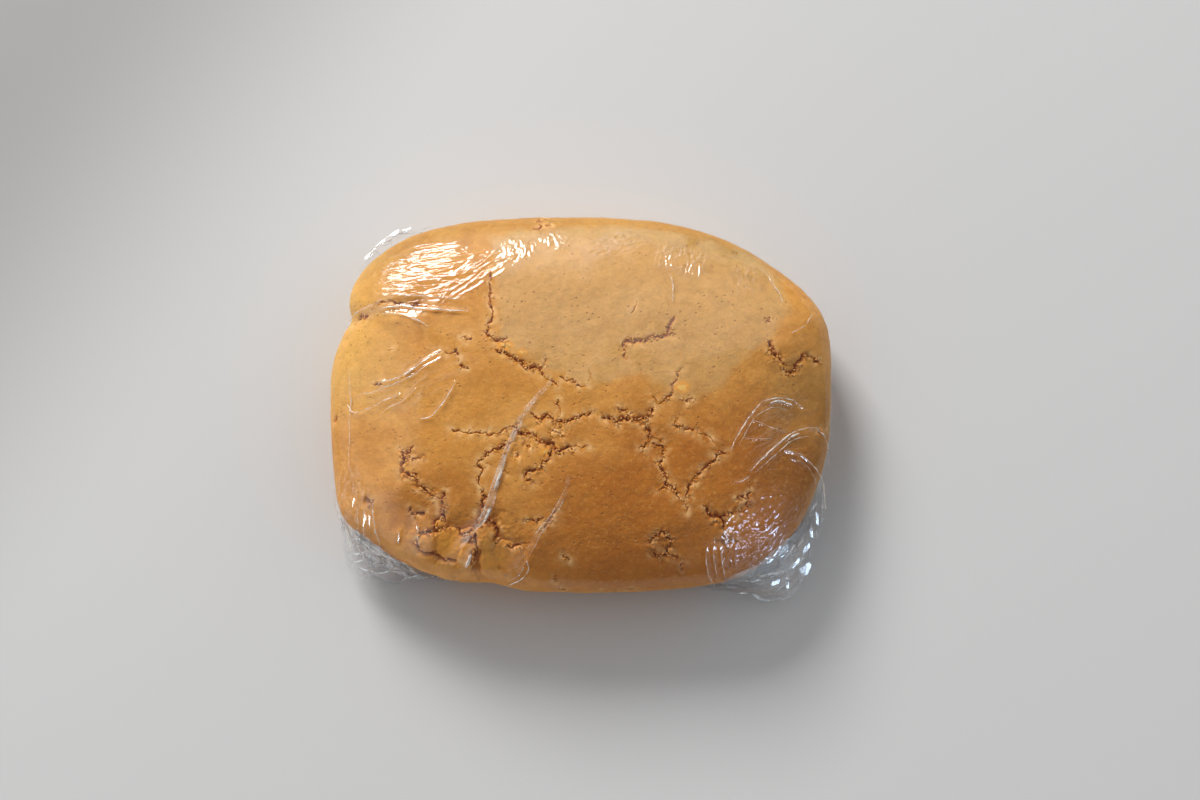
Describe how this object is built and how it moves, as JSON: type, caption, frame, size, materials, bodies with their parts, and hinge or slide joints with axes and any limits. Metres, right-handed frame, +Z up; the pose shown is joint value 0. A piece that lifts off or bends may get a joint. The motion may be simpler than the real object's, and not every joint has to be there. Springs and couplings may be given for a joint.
{
  "type": "block of cookie dough wrapped in clear film",
  "caption": "Rounded oblong block of tan soybean-flour cookie dough, domed and cracked on top, wrapped tight in clear film with crumpled corners.",
  "frame": {"origin": "under the middle of the block, on the surface it rests on", "axes": "+X along the long side, +Y towards the back long side, +Z up out of the domed top"},
  "size_m": [0.1162, 0.0892, 0.0282],
  "materials": {
    "dough": "soft matt dough, fine crumb at the cracks",
    "film": "clear glossy cling film with creases"
  },
  "bodies": {
    "root": {"dough_in_film": "dough"}
  },
  "joints": []
}
